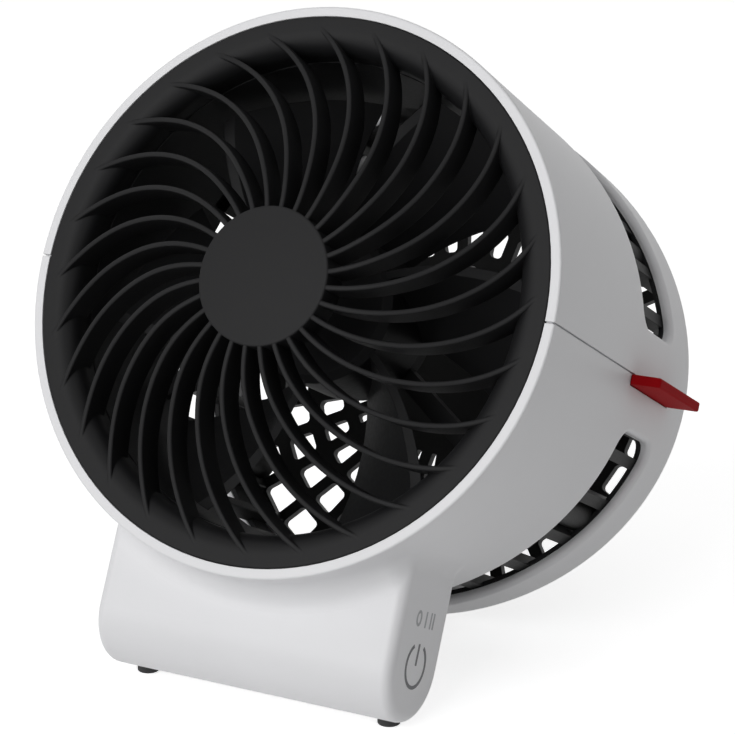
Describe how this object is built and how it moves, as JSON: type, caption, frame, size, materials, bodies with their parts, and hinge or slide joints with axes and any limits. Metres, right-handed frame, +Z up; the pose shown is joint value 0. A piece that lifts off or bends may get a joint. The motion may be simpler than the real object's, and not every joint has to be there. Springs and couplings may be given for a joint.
{
  "type": "air circulator fan",
  "caption": "Small round desk air circulator fan with a swirled front grille, side slots, a tilted drum on a rounded foot and a red pull-out scent tray.",
  "frame": {"origin": "centre of the overall bounding box in X and Y, at the floor under the rubber pads", "axes": "+Z up from the floor, +Y back, away from the front grille, +X to the right as seen from the front, where the red tab is"},
  "size_m": [0.1572, 0.1542, 0.1762],
  "materials": {
    "white_shell": "fine satin moulded",
    "black_plastic": "satin moulded",
    "red_plastic": "satin to gloss moulded",
    "grey_felt": "pressed felt",
    "rubber_pad": "matt",
    "steel": "bright zinc plated",
    "ferrite": "sintered",
    "brass_tube": "turned",
    "bronze": "sintered",
    "copper_wire": "enamelled winding",
    "green_board": "solder mask",
    "chip_black": "moulded",
    "can_aluminium": "drawn can with sleeve",
    "lead_jacket": "smooth"
  },
  "bodies": {
    "housing": {"upper_shell": "white_shell", "lower_shell": "white_shell", "inner_sleeve": "black_plastic", "front_grille": "black_plastic", "fan_frame": "black_plastic", "bearing_tube": "brass_tube", "front_bearing": "bronze", "rear_bearing": "bronze", "stator_core": "steel", "stator_coils": "copper_wire", "motor_board": "green_board", "motor_screws": "steel", "back_grille": "black_plastic", "back_grille_screws": "steel", "control_board": "green_board", "controller_chip": "chip_black", "smoothing_capacitor": "can_aluminium", "board_screws": "steel", "touch_sensor": "green_board", "power_socket": "steel", "motor_lead": "lead_jacket", "front_pads": "rubber_pad", "rear_pads": "rubber_pad"},
    "rotor": {"impeller": "black_plastic", "rotor_bell": "steel", "magnet_ring": "ferrite", "motor_shaft": "steel", "retaining_clip": "steel"},
    "tray": {"scent_tray": "red_plastic", "scent_pad": "grey_felt"}
  },
  "joints": [
    {"name": "impeller_spin", "type": "hinge", "parent": "housing", "child": "rotor", "pos_m": [-0.00361, -0.01479, 0.09418], "axis": [0, 0.9041, -0.4274], "continuous": true},
    {"name": "tray_slide", "type": "slide", "parent": "housing", "child": "tray", "axis": [1, 0, 0], "range_m": [0, 0.028]}
  ]
}
